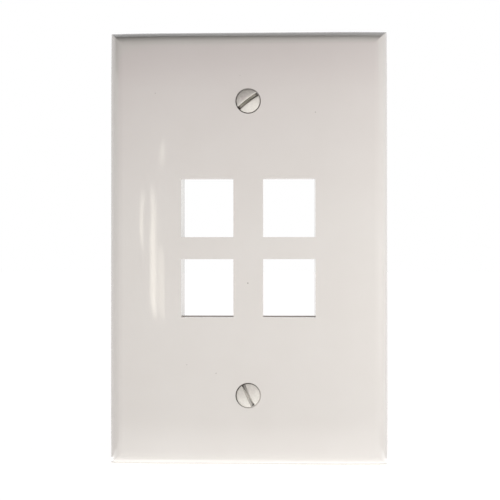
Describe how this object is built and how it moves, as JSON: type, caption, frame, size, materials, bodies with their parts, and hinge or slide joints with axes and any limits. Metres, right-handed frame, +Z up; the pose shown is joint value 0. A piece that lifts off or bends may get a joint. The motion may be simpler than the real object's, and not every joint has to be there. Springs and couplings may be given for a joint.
{
  "type": "keystone faceplate",
  "caption": "Crowned single-gang wall faceplate with a grid of empty keystone jack ports, and slotted oval-head mounting screws above and below them.",
  "frame": {"origin": "middle of the wall plane, on the plane of the moulding's rim, halfway between the two screws", "axes": "+X to the viewer's right, +Y into the wall, +Z up; the face looks along -Y"},
  "size_m": [0.0794, 0.017, 0.1238],
  "materials": {
    "moulding": "glossy off-white moulded plastic",
    "screw": "glossy off-white enamel on the head, over zinc-plated steel"
  },
  "bodies": {
    "plate": {"faceplate": "moulding"},
    "upper_screw": {"upper_screw": "screw"},
    "lower_screw": {"lower_screw": "screw"}
  },
  "joints": [
    {"name": "upper_screw_turn", "type": "hinge", "parent": "plate", "child": "upper_screw", "pos_m": [0, 0, 0.04167], "axis": [0, 1, 0], "continuous": true},
    {"name": "lower_screw_turn", "type": "hinge", "parent": "plate", "child": "lower_screw", "pos_m": [0, 0, -0.04167], "axis": [0, 1, 0], "continuous": true}
  ]
}
